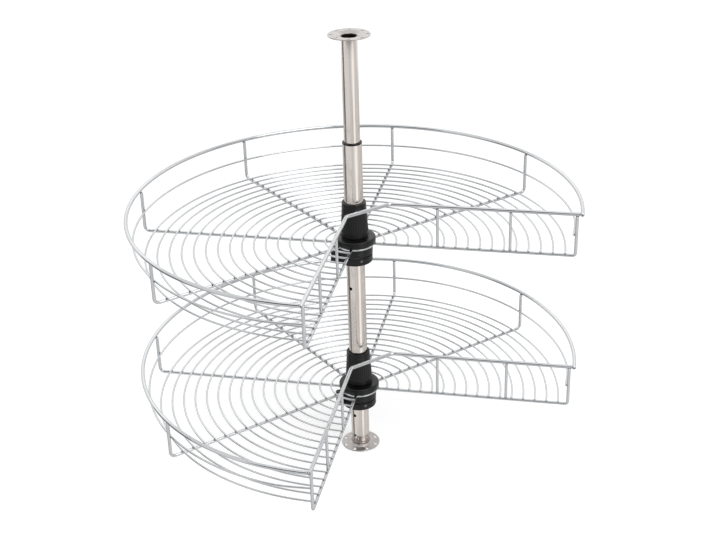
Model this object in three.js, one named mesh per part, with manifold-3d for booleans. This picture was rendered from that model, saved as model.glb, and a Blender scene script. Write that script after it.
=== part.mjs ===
// Corner carousel for a kitchen base cabinet: two three-quarter wire trays that turn on a telescopic post.
// Millimetres, +Z up. The origin is on the post's axis, in the plane of the floor flange's underside.
// +X runs along one edge of the trays' notch and -Y along the other, so the notch is the quadrant (+X, -Y).

import * as THREE from 'three';
import { mergeVertices } from 'three/addons/utils/BufferGeometryUtils.js';
import Module from 'manifold-3d';

const wasm = await Module();
wasm.setup();

// ---------------------------------------------------------------- driving sizes

const GAP = 0.3;                  // clearance between neighbouring pieces
const RUNNING_GAP = 0.45;         // radial clearance of a hub that turns on the tube

// Post
const POST_HEIGHT = 711;          // from under the floor flange to over the ceiling flange
const TUBE_TOP = 541;             // upper end of the main tube
const TUBE_RADIUS = 15;
const TUBE_WALL = 1.2;
const TOP_TUBE_WALL = 1.2;
const TOP_TUBE_INSIDE = 120;      // length of the top tube that stays inside the main tube
const BUSH_WALL = 0.7;            // plastic bush between the two tubes
const BUSH_DEPTH = 30;
const BUSH_LIP_HEIGHT = 3.5;
const BUSH_LIP_OVERHANG = 0.6;
const TUBE_HOLE_RADIUS = 2.2;
const TUBE_HOLE_HEIGHTS = [17, 57, 298];
const TUBE_HOLE_ANGLE = 247;

// Flanges, one pressing at both ends of the post
const FLANGE_RIM = 14.7;          // from the outside of the floor flange's neck to the edge of the plate
const FLANGE_PLATE = 2;
const FLANGE_EDGE_BEVEL = 0.6;
const FLANGE_DISH = 2.5;          // how far the middle is pressed in from the face that is screwed down
const NECK_WALL = 2;              // width of the raised ring round the tube
const NECK_HEIGHT = 4.5;          // from the face that is screwed down to the top of the raised ring
const NECK_FOOT = 2;              // run of the slope from the raised ring down to the plate
const SCREW_HOLE_RADIUS = 2.5;
const SCREW_HOLE_SETBACK = 5;     // from the centre of a hole to the plate's edge
const SCREW_HOLES = 8;
const SCREW_HOLE_START = 34.5;

// Trays
const FLOOR_HEIGHTS = { lower: 108, upper: 374 };
const TRAY_RADIUS = 355;          // outside of the rim
const NOTCH_ANGLE = 90;
const WALL_HEIGHT = 69;           // from the middle of the edge spokes to the middle of the rim
const RIM_WIRE = 6;
const SPOKE_WIRE = 5;
const FLOOR_WIRE = 3;
const WALL_WIRE = 3.2;
const EDGE_WIRE = 4.4;
const SPOKE_STEP = 45;
const SPOKE_BEND = 8;             // centre-line radius of the bend from spoke to upright
const END_BEND = 4.5;             // the same at the two edges of the notch
const UPRIGHT_SETBACK = 3;        // from the rim's centre line in to the uprights
const END_SETBACK = 7.5;          // from the rim's centre line in to the end uprights
const FIRST_RING_GAP = 13.9;      // from the edge of the hub flange to the first floor ring
const RING_PITCH = 18.8;
const RING_MARGIN = 17;           // least distance from the last floor ring to the uprights
const RING_TAIL = 2;              // how far a ring's end lies past the middle of the edge spoke
const WELD_BITE = 0.5;            // how deep a floor ring sinks into the edge spokes
const EDGE_UPRIGHTS_AFTER_RING = { inner: 5, middle: 11 };
const NOTCH_CHAMFER = 57;         // where the rail leaves each edge to pass in front of the hub
const CHAMFER_BEND = 12;
const WALL_WIRE_TURN_IN = 11;     // angle over which the wall wire's end comes in to the end upright

// Hubs
const HUB_WIRE = 4.8;             // round wire that the spokes end on
const CUP_BOSS_WALL = 10.85;
const CUP_HEIGHT = 13.3;
const CUP_SETBACK = 1;            // from the hub wire's middle in to the cup's side
const CUP_CHAMFER = 0.8;
const HUB_FLANGE_OVERHANG = 1.6;
const HUB_FLANGE_HEIGHT = 9.8;
const HUB_FLANGE_ROUNDING = 3;
const SLEEVE_NECK_WALL = 5.15;
const SLEEVE_NECK_HEIGHT = 8.5;
const SLEEVE_HEIGHT = 49.5;
const SLEEVE_SKIRT_WALL = 6.45;
const SLEEVE_FLUTE_HEIGHT = 35;
const SLEEVE_SHOULDER_WALL = 4.25;
const SLEEVE_TOP_WALL = 3.6;
const WASHER_THICKNESS = 1;
const WASHER_WIDTH = 10.5;
const SUPPORT_HEIGHT = 12;
const SUPPORT_SETBACK = 0.4;      // from the cup's side in to the support ring's side
const LUG_REACH = 11.5;
const LUG_WIDTH = 10;
const LUG_SETBACK = 1;            // from the cup's upper edge down to its lug
const LUG_ANGLE = 200;
const SET_SCREW_RADIUS = 2.5;
const SET_SCREW_DEPTH = 4.9;      // from the support ring's upper face to the screw's axis
const SET_SCREW_RECESS = 0.8;
const SET_SCREW_ANGLE = 304;

// Facets
const ROUND_SIDES = 24;
const THICK_WIRE_SIDES = 8;
const WIRE_SIDES = 6;
const THIN_WIRE_SIDES = 4;
const HOLE_SIDES = 8;
const BEND_STEPS = 3;
const RIM_STEP = 7.5;
const WALL_STEP = 9;

// ---------------------------------------------------------------- derived sizes

const bushRadius = TUBE_RADIUS - TUBE_WALL - GAP;
const topTubeRadius = bushRadius - BUSH_WALL - GAP;
const flangeRadius = TUBE_RADIUS + GAP + NECK_WALL + FLANGE_RIM;
const boreRadius = TUBE_RADIUS + RUNNING_GAP;

const cupBossRadius = boreRadius + CUP_BOSS_WALL;
const hubWireRadius = cupBossRadius + GAP + HUB_WIRE / 2;
const cupRadius = hubWireRadius - CUP_SETBACK;
const hubFlangeRadius = hubWireRadius + HUB_WIRE / 2 + HUB_FLANGE_OVERHANG;
const hubFlangeBottom = HUB_WIRE / 2 + GAP;
const hubFlangeTop = hubFlangeBottom + HUB_FLANGE_HEIGHT;
const sleeveBottom = hubFlangeTop + SLEEVE_NECK_HEIGHT + GAP;
const cupTop = -HUB_WIRE / 2 - GAP;
const cupBottom = cupTop - CUP_HEIGHT;
const washerTop = cupBottom - GAP;
const supportTop = washerTop - WASHER_THICKNESS - GAP;
const supportBottom = supportTop - SUPPORT_HEIGHT;
const supportRadius = cupRadius - SUPPORT_SETBACK;

const notchEnd = 360 - NOTCH_ANGLE;
const rimRadius = TRAY_RADIUS - RIM_WIRE / 2;
const uprightRadius = rimRadius - UPRIGHT_SETBACK;
const endUprightRadius = rimRadius - END_SETBACK;
const wallRingRadius = uprightRadius - SPOKE_WIRE / 2 - GAP - WALL_WIRE / 2;
const wallWireEndRadius = endUprightRadius - SPOKE_WIRE / 2 - GAP - WALL_WIRE / 2;
const uprightTop = WALL_HEIGHT - RIM_WIRE / 2 - GAP;
const spokeStart = hubWireRadius + HUB_WIRE / 2 + GAP;
const ringLevel = SPOKE_WIRE / 2 + FLOOR_WIRE / 2 - WELD_BITE;
const innerSpokeLevel = -WELD_BITE - GAP;
const firstRing = hubFlangeRadius + FIRST_RING_GAP;
const ringCount = Math.floor((uprightRadius - RING_MARGIN - firstRing) / RING_PITCH) + 1;

// ---------------------------------------------------------------- materials

const chromeWire = new THREE.MeshStandardMaterial({ color: 0xd9dbdd, metalness: 1, roughness: 0.12 });
const satinNickel = new THREE.MeshStandardMaterial({ color: 0xcbc2ba, metalness: 1, roughness: 0.34 });
const blackPlastic = new THREE.MeshStandardMaterial({ color: 0x1a1a1b, metalness: 0, roughness: 0.5 });
const nylon = new THREE.MeshStandardMaterial({ color: 0xe6e2d8, metalness: 0, roughness: 0.6 });
const zincSteel = new THREE.MeshStandardMaterial({ color: 0xa6a7a8, metalness: 1, roughness: 0.3 });

// ---------------------------------------------------------------- helpers

const radians = THREE.MathUtils.degToRad;
const atAngle = (radius, degrees, z) => new THREE.Vector3(
  radius * Math.cos(radians(degrees)), radius * Math.sin(radians(degrees)), z);

function asSolid(geometry) {
  const bare = geometry.clone();
  bare.deleteAttribute('normal');
  bare.deleteAttribute('uv');
  const merged = mergeVertices(bare, 1e-4);
  return new wasm.Manifold(new wasm.Mesh({
    numProp: 3,
    vertProperties: merged.attributes.position.array,
    triVerts: new Uint32Array(merged.index.array),
  }));
}

function asGeometry(solid) {
  const mesh = solid.getMesh();
  const geometry = new THREE.BufferGeometry();
  geometry.setAttribute('position', new THREE.BufferAttribute(mesh.vertProperties, 3));
  geometry.setIndex(new THREE.BufferAttribute(mesh.triVerts, 1));
  geometry.computeVertexNormals();
  return geometry;
}

const joined = (geometries) => asGeometry(
  geometries.map(asSolid).reduce((whole, piece) => whole.add(piece)));
const cut = (geometry, tools) => asGeometry(
  tools.map(asSolid).reduce((whole, tool) => whole.subtract(tool), asSolid(geometry)));

// A closed profile of [radius, height] corners turned round the Z axis.
function turned(profile) {
  const corners = profile.map(([radius, height]) => new THREE.Vector2(radius, height));
  const loop = THREE.ShapeUtils.isClockWise(corners) ? corners.reverse() : corners;
  const geometry = new THREE.LatheGeometry([...loop, loop[0]], ROUND_SIDES);
  return geometry.rotateX(Math.PI / 2);
}

function polygon(radius, sides) {
  const corner = (index) => new THREE.Vector2(radius, 0).rotateAround(
    new THREE.Vector2(), 2 * Math.PI * index / sides);
  return new THREE.Shape(Array.from({ length: sides }, (_, index) => corner(index)));
}

// A wire's centre line through chosen stations, so that each bend gets just the steps it needs.
class WirePath extends THREE.Curve {
  constructor(stations) {
    super();
    this.stations = stations;
  }

  getPoint(t) {
    const place = t * (this.stations.length - 1);
    const index = Math.min(Math.floor(place), this.stations.length - 2);
    return this.stations[index].clone().lerp(this.stations[index + 1], place - index);
  }

  getTangent(t) {
    const index = Math.round(t * (this.stations.length - 1));
    const direction = (start) => this.stations[start + 1].clone().sub(this.stations[start]).normalize();
    const before = direction(Math.max(index - 1, 0));
    const after = direction(Math.min(index, this.stations.length - 2));
    return before.add(after).normalize();
  }

  getUtoTmapping(u) {
    return u;
  }
}

function wire(stations, diameter, sides) {
  return new THREE.ExtrudeGeometry(polygon(diameter / 2, sides), {
    extrudePath: new WirePath(stations),
    steps: stations.length - 1,
  });
}

// Angles from one end to the other with every whole multiple of the step between them.
function angles(from, to, step) {
  const between = [];
  for (let angle = Math.ceil((from + step / 4) / step) * step; angle < to - step / 4; angle += step) {
    between.push(angle);
  }
  return [from, ...between, to];
}

// A round bend that leaves the corner's first leg and joins its second at the same distance.
function bend(corner, from, to, radius) {
  const first = from.clone().sub(corner).normalize();
  const second = to.clone().sub(corner).normalize();
  const half = first.angleTo(second) / 2;
  const reach = radius / Math.tan(half);
  const inward = first.clone().add(second).normalize();
  const centre = corner.clone().addScaledVector(inward, radius / Math.sin(half));
  const start = corner.clone().addScaledVector(first, reach).sub(centre);
  const end = corner.clone().addScaledVector(second, reach).sub(centre);
  const sweep = start.angleTo(end);
  const axis = start.clone().cross(end).normalize();
  return Array.from({ length: BEND_STEPS + 1 }, (_, step) =>
    start.clone().applyAxisAngle(axis, sweep * step / BEND_STEPS).add(centre));
}

// A round rod along +X between two distances from the Z axis.
function radialRod(radius, from, to, height) {
  const rod = new THREE.CylinderGeometry(radius, radius, to - from, HOLE_SIDES);
  return rod.rotateZ(-Math.PI / 2).translate((from + to) / 2, 0, height);
}

function node(name, geometry, material) {
  const mesh = new THREE.Mesh(geometry, material);
  mesh.name = name;
  return mesh;
}

// ---------------------------------------------------------------- post

function tube(radius, wall, bottom, top) {
  return turned([[radius - wall, bottom], [radius, bottom], [radius, top], [radius - wall, top]]);
}

function mainTube() {
  const hole = (height) => radialRod(TUBE_HOLE_RADIUS, TUBE_RADIUS / 2, TUBE_RADIUS * 2, height)
    .rotateZ(radians(TUBE_HOLE_ANGLE));
  return cut(tube(TUBE_RADIUS, TUBE_WALL, FLANGE_DISH + GAP, TUBE_TOP), TUBE_HOLE_HEIGHTS.map(hole));
}

// A plate whose middle is pressed up into a raised ring, with the tube's end inside the ring.
function flange(tubeRadius) {
  const bore = tubeRadius + GAP;
  const neck = bore + NECK_WALL;
  const plate = turned([
    [bore, FLANGE_DISH],
    [neck, 0],
    [flangeRadius, 0],
    [flangeRadius, FLANGE_PLATE - FLANGE_EDGE_BEVEL],
    [flangeRadius - FLANGE_EDGE_BEVEL, FLANGE_PLATE],
    [neck + NECK_FOOT, FLANGE_PLATE],
    [neck, NECK_HEIGHT],
    [bore, NECK_HEIGHT],
  ]);
  const holes = Array.from({ length: SCREW_HOLES }, (_, index) => {
    const place = atAngle(
      flangeRadius - SCREW_HOLE_SETBACK, SCREW_HOLE_START + 360 * index / SCREW_HOLES, 0);
    return new THREE.CylinderGeometry(SCREW_HOLE_RADIUS, SCREW_HOLE_RADIUS, 4 * FLANGE_PLATE, HOLE_SIDES)
      .rotateX(Math.PI / 2)
      .translate(place.x, place.y, 0);
  });
  return cut(plate, holes);
}

function collarBush() {
  const bore = topTubeRadius + GAP;
  return turned([
    [bore, TUBE_TOP - BUSH_DEPTH],
    [bushRadius, TUBE_TOP - BUSH_DEPTH],
    [bushRadius, TUBE_TOP + GAP],
    [TUBE_RADIUS + BUSH_LIP_OVERHANG, TUBE_TOP + GAP],
    [TUBE_RADIUS + BUSH_LIP_OVERHANG, TUBE_TOP + GAP + BUSH_LIP_HEIGHT],
    [bore, TUBE_TOP + GAP + BUSH_LIP_HEIGHT],
  ]);
}

function post() {
  const group = new THREE.Group();
  const topTube = tube(
    topTubeRadius, TOP_TUBE_WALL, TUBE_TOP - TOP_TUBE_INSIDE, POST_HEIGHT - FLANGE_DISH - GAP);
  const ceilingFlange = node('ceiling_flange', flange(topTubeRadius), satinNickel);
  ceilingFlange.rotation.x = Math.PI;
  ceilingFlange.position.z = POST_HEIGHT;
  group.add(
    node('floor_flange', flange(TUBE_RADIUS), satinNickel),
    node('main_tube', mainTube(), satinNickel),
    node('collar_bush', collarBush(), blackPlastic),
    node('top_tube', topTube, satinNickel),
    ceilingFlange,
  );
  return group;
}

// ---------------------------------------------------------------- hub

// A lug with a round end that stands out along +X between two levels.
function lug(reach, bottom, top) {
  const half = LUG_WIDTH / 2;
  const outline = new THREE.Shape();
  outline.moveTo(boreRadius + half, -half);
  outline.lineTo(reach - half, -half);
  outline.absarc(reach - half, 0, half, -Math.PI / 2, Math.PI / 2, false);
  outline.lineTo(boreRadius + half, half);
  const block = new THREE.ExtrudeGeometry(outline, {
    depth: top - bottom,
    bevelEnabled: false,
    curveSegments: 4,
  });
  return block.translate(0, 0, bottom).rotateZ(radians(LUG_ANGLE));
}

function hubCup() {
  const body = turned([
    [boreRadius, cupBottom],
    [cupRadius - CUP_CHAMFER, cupBottom],
    [cupRadius, cupBottom + CUP_CHAMFER],
    [cupRadius, cupTop],
    [cupBossRadius, cupTop],
    [cupBossRadius, -cupTop - GAP],
    [boreRadius, -cupTop - GAP],
  ]);
  return joined([body, lug(cupRadius + LUG_REACH, cupBottom, cupTop - LUG_SETBACK)]);
}

function hubFlange() {
  const neck = boreRadius + SLEEVE_NECK_WALL;
  return turned([
    [boreRadius, hubFlangeBottom],
    [hubFlangeRadius, hubFlangeBottom],
    [hubFlangeRadius, hubFlangeTop - HUB_FLANGE_ROUNDING],
    [hubFlangeRadius - HUB_FLANGE_ROUNDING, hubFlangeTop],
    [neck, hubFlangeTop],
    [neck, sleeveBottom - GAP],
    [boreRadius, sleeveBottom - GAP],
  ]);
}

function hubSleeve() {
  return turned([
    [boreRadius, sleeveBottom],
    [boreRadius + SLEEVE_SKIRT_WALL, sleeveBottom],
    [boreRadius + SLEEVE_SHOULDER_WALL, sleeveBottom + SLEEVE_FLUTE_HEIGHT],
    [boreRadius + SLEEVE_TOP_WALL, sleeveBottom + SLEEVE_HEIGHT],
    [boreRadius, sleeveBottom + SLEEVE_HEIGHT],
  ]);
}

function slideWasher() {
  return turned([
    [boreRadius, washerTop - WASHER_THICKNESS],
    [boreRadius + WASHER_WIDTH, washerTop - WASHER_THICKNESS],
    [boreRadius + WASHER_WIDTH, washerTop],
    [boreRadius, washerTop],
  ]);
}

function supportRing() {
  const bore = TUBE_RADIUS + GAP;
  const body = turned([
    [bore, supportBottom],
    [supportRadius - CUP_CHAMFER, supportBottom],
    [supportRadius, supportBottom + CUP_CHAMFER],
    [supportRadius, supportTop],
    [bore, supportTop],
  ]);
  const screwHole = radialRod(
    SET_SCREW_RADIUS + GAP, TUBE_RADIUS / 2, supportRadius * 2, supportTop - SET_SCREW_DEPTH);
  screwHole.rotateZ(radians(SET_SCREW_ANGLE));
  return cut(joined([body, lug(cupRadius + LUG_REACH, supportBottom, supportTop)]), [screwHole]);
}

function setScrew() {
  const screw = radialRod(
    SET_SCREW_RADIUS, TUBE_RADIUS + GAP, supportRadius - SET_SCREW_RECESS, supportTop - SET_SCREW_DEPTH);
  return screw.rotateZ(radians(SET_SCREW_ANGLE));
}

function hubWire() {
  return new THREE.TorusGeometry(hubWireRadius, HUB_WIRE / 2, WIRE_SIDES, ROUND_SIDES);
}

// ---------------------------------------------------------------- tray wires

// A spoke along +X that bends up into an upright.
function spoke(level, radius, bendRadius) {
  const start = new THREE.Vector3(spokeStart, 0, level);
  const corner = new THREE.Vector3(radius, 0, level);
  const top = new THREE.Vector3(radius, 0, uprightTop);
  return wire([start, ...bend(corner, start, top, bendRadius), top], SPOKE_WIRE, WIRE_SIDES);
}

// One floor ring, with longer steps near the hub so that all rings have about the same facets.
function floorRing(radius) {
  const tail = THREE.MathUtils.radToDeg(Math.asin(RING_TAIL / radius));
  const steps = Math.max(2, Math.round(4 * Math.sqrt(radius / TRAY_RADIUS)));
  const stations = angles(-tail, notchEnd + tail, SPOKE_STEP / steps);
  return wire(stations.map((angle) => atAngle(radius, angle, ringLevel)), FLOOR_WIRE, THIN_WIRE_SIDES);
}

// The floor rings and the two edge spokes that their ends are welded to.
function floorWires() {
  const edge = () => spoke(0, endUprightRadius, END_BEND);
  const rings = Array.from({ length: ringCount }, (_, index) => floorRing(firstRing + index * RING_PITCH));
  return joined([edge(), edge().rotateZ(radians(notchEnd)), ...rings]);
}

// The rim runs just past the rail at one end of the notch and stops at the rail's side at the other.
function rimWire() {
  const past = THREE.MathUtils.radToDeg(RIM_WIRE / 2 / rimRadius);
  const short = THREE.MathUtils.radToDeg((RIM_WIRE / 2 + GAP) / rimRadius);
  const stations = [-past, ...angles(0, notchEnd - short, RIM_STEP)];
  return wire(stations.map((angle) => atAngle(rimRadius, angle, WALL_HEIGHT)), RIM_WIRE, THICK_WIRE_SIDES);
}

// Half-way up the wall, inside the uprights, with both ends brought in to the end uprights.
function wallWire() {
  const radiusAt = (angle) => {
    const fromEnd = Math.min(angle, notchEnd - angle);
    const share = THREE.MathUtils.smoothstep(fromEnd, 0, WALL_WIRE_TURN_IN);
    return THREE.MathUtils.lerp(wallWireEndRadius, wallRingRadius, share);
  };
  const turnIn = [0, 0.25, 0.5, 0.75].map((share) => share * WALL_WIRE_TURN_IN);
  const stations = [
    ...turnIn,
    ...angles(WALL_WIRE_TURN_IN, notchEnd - WALL_WIRE_TURN_IN, WALL_STEP),
    ...turnIn.map((angle) => notchEnd - angle).reverse(),
  ];
  return wire(
    stations.map((angle) => atAngle(radiusAt(angle), angle, WALL_HEIGHT / 2)), WALL_WIRE, WIRE_SIDES);
}

// The rail follows one edge of the notch, passes in front of the hub and follows the other edge.
function notchRail() {
  const along = (distance, angle) => atAngle(distance, angle, WALL_HEIGHT);
  const start = along(rimRadius - RIM_WIRE / 2 - GAP, 0);
  const firstCorner = along(NOTCH_CHAMFER, 0);
  const secondCorner = along(NOTCH_CHAMFER, notchEnd);
  const end = along(TRAY_RADIUS, notchEnd);
  return wire([
    start,
    ...bend(firstCorner, start, secondCorner, CHAMFER_BEND),
    ...bend(secondCorner, firstCorner, end, CHAMFER_BEND),
    end,
  ], RIM_WIRE, THICK_WIRE_SIDES);
}

function edgeUpright(afterRing, angle) {
  const distance = firstRing + (afterRing - 0.5) * RING_PITCH;
  const bottom = SPOKE_WIRE / 2 + GAP;
  const rod = new THREE.CylinderGeometry(EDGE_WIRE / 2, EDGE_WIRE / 2, uprightTop - bottom, WIRE_SIDES);
  return rod.rotateX(Math.PI / 2).translate(distance, 0, (bottom + uprightTop) / 2).rotateZ(radians(angle));
}

// ---------------------------------------------------------------- one tier

function tier(tierName, floorHeight) {
  const group = new THREE.Group();
  const add = (name, geometry, material) => group.add(node(`${tierName}_${name}`, geometry, material));
  add('support_ring', supportRing(), blackPlastic);
  add('set_screw', setScrew(), zincSteel);
  add('slide_washer', slideWasher(), nylon);
  add('hub_cup', hubCup(), blackPlastic);
  add('hub_flange', hubFlange(), blackPlastic);
  add('hub_sleeve', hubSleeve(), blackPlastic);
  add('hub_wire', hubWire(), chromeWire);
  add('floor_wires', floorWires(), chromeWire);
  for (let angle = SPOKE_STEP; angle < notchEnd; angle += SPOKE_STEP) {
    const label = String(angle).padStart(3, '0');
    const inner = spoke(innerSpokeLevel, uprightRadius, SPOKE_BEND);
    add(`spoke_${label}`, inner.rotateZ(radians(angle)), chromeWire);
  }
  add('rim_wire', rimWire(), chromeWire);
  add('wall_wire', wallWire(), chromeWire);
  add('notch_rail', notchRail(), chromeWire);
  for (const [place, afterRing] of Object.entries(EDGE_UPRIGHTS_AFTER_RING)) {
    add(`${place}_upright_a`, edgeUpright(afterRing, 0), chromeWire);
    add(`${place}_upright_b`, edgeUpright(afterRing, notchEnd), chromeWire);
  }
  group.position.z = floorHeight;
  return group;
}

const carousel = new THREE.Group();
carousel.add(post());
for (const [tierName, floorHeight] of Object.entries(FLOOR_HEIGHTS)) {
  carousel.add(tier(tierName, floorHeight));
}

export default carousel;
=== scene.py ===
# %% [markdown]
# # A corner carousel, dressed in metal and plastic
#
# The object is the fitting from a corner base cabinet: two round wire trays with a quarter cut out, which
# turn on a telescopic post. Its measured solids are already packed, so this lesson doesn't move or resize
# anything. It replaces each plain, faceted solid by a fine surface in the same place, and gives it the
# finish of the real one: bright chrome on bent wire, satin nickel on drawn tube, black moulded plastic on
# the hubs.
#
# The fixed frame comes first. The finished surfaces may not grow past it.

# %% Load the measured part
import math

import bpy
import numpy as np
from mathutils import Matrix, Vector


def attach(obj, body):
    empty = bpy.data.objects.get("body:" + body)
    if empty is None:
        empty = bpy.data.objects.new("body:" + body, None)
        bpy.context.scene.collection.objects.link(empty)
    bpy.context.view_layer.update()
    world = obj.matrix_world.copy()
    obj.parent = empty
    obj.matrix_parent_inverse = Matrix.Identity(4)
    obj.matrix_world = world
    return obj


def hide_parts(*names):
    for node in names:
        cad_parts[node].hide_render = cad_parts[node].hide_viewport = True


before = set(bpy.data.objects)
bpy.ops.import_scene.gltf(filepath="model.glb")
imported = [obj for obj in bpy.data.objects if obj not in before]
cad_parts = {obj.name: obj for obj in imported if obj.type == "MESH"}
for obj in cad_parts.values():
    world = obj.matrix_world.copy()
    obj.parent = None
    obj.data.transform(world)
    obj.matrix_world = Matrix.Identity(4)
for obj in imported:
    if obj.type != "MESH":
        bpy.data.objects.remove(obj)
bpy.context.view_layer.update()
MM = 0.001

# %% [markdown]
# ## Small helpers for materials
#
# Colours are given as sRGB hex values, but light adds up linearly, so one function turns the first
# into the second. Another adds one node to a node tree, sets its choices, and fills or links its sockets,
# which keeps each material below down to a few lines that read like a recipe. The last two begin and end a
# material.
#
# Blender's noise mostly stays between 0.3 and 0.7, so a material stretches that span to its own range of
# gloss. A relief of 0.05 mm is as deep as any plating or mould grain gets here, and each material takes a
# share of it.

# %% Colour and node helpers
NOISE_SPAN = {"From Min": 0.3, "From Max": 0.7}
RELIEF = 0.05 * MM


def colour(hex_value):
    """sRGB hex to linear: values under 0.04045 are divided by 12.92, the rest follow a power of 2.4."""
    share = np.array([int(hex_value[i:i + 2], 16) for i in (1, 3, 5)]) / 255
    linear = np.where(share <= 0.04045, share / 12.92, ((share + 0.055) / 1.055) ** 2.4)
    return (*linear.tolist(), 1.0)


def add(tree, kind, choices=None, sockets=None):
    """Add one node. Choices are its own settings, and sockets are values or other nodes' outputs."""
    node = tree.nodes.new(kind)
    for name, value in (choices or {}).items():
        setattr(node, name, value)
    for name, value in (sockets or {}).items():
        if isinstance(value, bpy.types.NodeSocket):
            tree.links.new(value, node.inputs[name])
        else:
            node.inputs[name].default_value = value
    return node


def new_material(name):
    """A material with an empty node tree, and the Object coordinates that every pattern here reads."""
    material = bpy.data.materials.new(name)
    material.use_nodes = True
    tree = material.node_tree
    tree.nodes.clear()
    return material, tree, add(tree, "ShaderNodeTexCoord").outputs["Object"]


def finish_material(tree, shader):
    """Send the shader to the material's output."""
    add(tree, "ShaderNodeOutputMaterial", sockets={"Surface": shader.outputs[0]})


print("mid grey, linear:", round(colour("#808080")[0], 3))

# %% [markdown]
# ## Bright chrome wire
#
# The trays are drawn steel wire, welded and then plated in one piece with nickel and bright chrome. Chrome
# is a hard, slightly cool mirror that returns a little over half of the light. It is very smooth, but the
# plating bath and the drawing die leave a faint wave, so a long wire never looks like a clean line of
# light. Two patterns give that: soft patches about 9 mm wide that shift gloss and tone, and a ripple of 1.5
# mm in the surface. The real ripple is finer, but it would be lost between two pixels.

# %% Chrome for wire and for weld beads
def chrome(name, dark, light, gloss, ripple):
    """Patches blend tone from dark to light and roughness through gloss. Ripple is the relief's share."""
    material, tree, place = new_material(name)
    patches = add(tree, "ShaderNodeTexNoise", sockets={
        "Vector": place, "Scale": 1 / (9 * MM), "Detail": 3.0})
    tone = add(tree, "ShaderNodeMix", {"data_type": "RGBA"},
               {0: patches.outputs["Fac"], 6: colour(dark), 7: colour(light)})
    smooth = add(tree, "ShaderNodeMapRange", sockets={
        "Value": patches.outputs["Fac"], **NOISE_SPAN, "To Min": gloss[0], "To Max": gloss[1]})
    wave = add(tree, "ShaderNodeTexNoise", sockets={"Vector": place, "Scale": 1 / (1.5 * MM), "Detail": 2.0})
    relief = add(tree, "ShaderNodeBump", sockets={
        "Height": wave.outputs["Fac"], "Strength": ripple, "Distance": RELIEF})
    finish_material(tree, add(tree, "ShaderNodeBsdfPrincipled", sockets={
        "Base Color": tone.outputs[2], "Metallic": 1.0, "Roughness": smooth.outputs[0],
        "Normal": relief.outputs[0]}))
    return material


CHROME_WIRE = chrome("bright_chrome_wire", "#c1c3c5", "#d1d3d5", (0.06, 0.14), 0.15)
# A weld bead is rough steel under the same plating, so it is duller. Its darker tone is painted shade,
# the shade where two wires meet, which the eye reads as a small dark dot.
WELD_CHROME_PAINTED_SHADE = chrome("chrome_over_weld_painted_shade", "#6d6e70", "#8f9092", (0.26, 0.42), 0.8)
print("chrome:", CHROME_WIRE.name, WELD_CHROME_PAINTED_SHADE.name)

# %% [markdown]
# ## Satin nickel
#
# Both tubes are drawn through a die, polished along their length and plated with nickel, which is warmer
# than chrome. The polishing leaves hair lines along the tube, so the grain is stretched 60 times along the
# post: 0.5 mm across and 30 mm long, a little coarser than the real one so that it shows. The plating
# hardly reaches the inside of a tube, which stays bare steel, and its tone there is painted dark as painted
# shade in the bore. The flanges are pressed from sheet and tumbled, which leaves no direction, only a soft
# mottle 3 mm wide.

# %% Nickel for tube and for pressings
# The inside's dark tone is bare steel darkened with painted shade for the bore.
BARE_STEEL_AND_SHADE, BARE_ROUGHNESS = "#362d27", 0.6


def nickel(name, dark, light, gloss, grain, depth, bare_and_shaded_inside=False):
    """Grain is a pattern size in mm along x, y and z. It moves roughness through gloss, and depth is its
    share of the relief. A slow cloud blends the tone from dark to light."""
    material, tree, place = new_material(name)
    stretched = add(tree, "ShaderNodeMapping", sockets={
        "Vector": place, "Scale": [1 / (size * MM) for size in grain]})
    lines = add(tree, "ShaderNodeTexNoise", sockets={
        "Vector": stretched.outputs[0], "Scale": 1.0, "Detail": 4.0})
    cloud = add(tree, "ShaderNodeTexNoise", sockets={"Vector": place, "Scale": 1 / (25 * MM), "Detail": 2.0})
    tone = add(tree, "ShaderNodeMix", {"data_type": "RGBA"},
               {0: cloud.outputs["Fac"], 6: colour(dark), 7: colour(light)})
    smooth = add(tree, "ShaderNodeMapRange", sockets={
        "Value": lines.outputs["Fac"], **NOISE_SPAN, "To Min": gloss[0], "To Max": gloss[1]})
    relief = add(tree, "ShaderNodeBump", sockets={
        "Height": lines.outputs["Fac"], "Strength": depth, "Distance": RELIEF})
    if bare_and_shaded_inside:
        # Inside faces point at the axis: there, place . normal is below 0 once the height is left out.
        flat = add(tree, "ShaderNodeVectorMath", {"operation": "MULTIPLY"}, {0: place, 1: (1.0, 1.0, 0.0)})
        outward = add(tree, "ShaderNodeVectorMath", {"operation": "DOT_PRODUCT"}, {
            0: flat.outputs[0], 1: add(tree, "ShaderNodeTexCoord").outputs["Normal"]})
        inside = add(tree, "ShaderNodeMapRange", sockets={
            "Value": outward.outputs["Value"], "From Min": -4 * MM, "From Max": -1 * MM,
            "To Min": 1.0, "To Max": 0.0})
        # Inside the tube the tone turns to the dark one: painted shade in the bore, on bare steel.
        tone = add(tree, "ShaderNodeMix", {"data_type": "RGBA"},
                   {0: inside.outputs[0], 6: tone.outputs[2], 7: colour(BARE_STEEL_AND_SHADE)})
        smooth = add(tree, "ShaderNodeMix", sockets={
            0: inside.outputs[0], 2: smooth.outputs[0], 3: BARE_ROUGHNESS})
    finish_material(tree, add(tree, "ShaderNodeBsdfPrincipled", sockets={
        "Base Color": tone.outputs[2], "Metallic": 1.0, "Roughness": smooth.outputs[0],
        "Normal": relief.outputs[0]}))
    return material


NICKEL_TUBE = nickel("satin_nickel_tube", "#d6cec8", "#e1d9d3", (0.1, 0.18), (0.5, 0.5, 30), 0.12,
                     bare_and_shaded_inside=True)
NICKEL_PRESSING = nickel("satin_nickel_pressing", "#b4afac", "#c2bdbb", (0.26, 0.36), (3, 3, 3), 0.04)
print("nickel:", NICKEL_TUBE.name, NICKEL_PRESSING.name)

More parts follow.
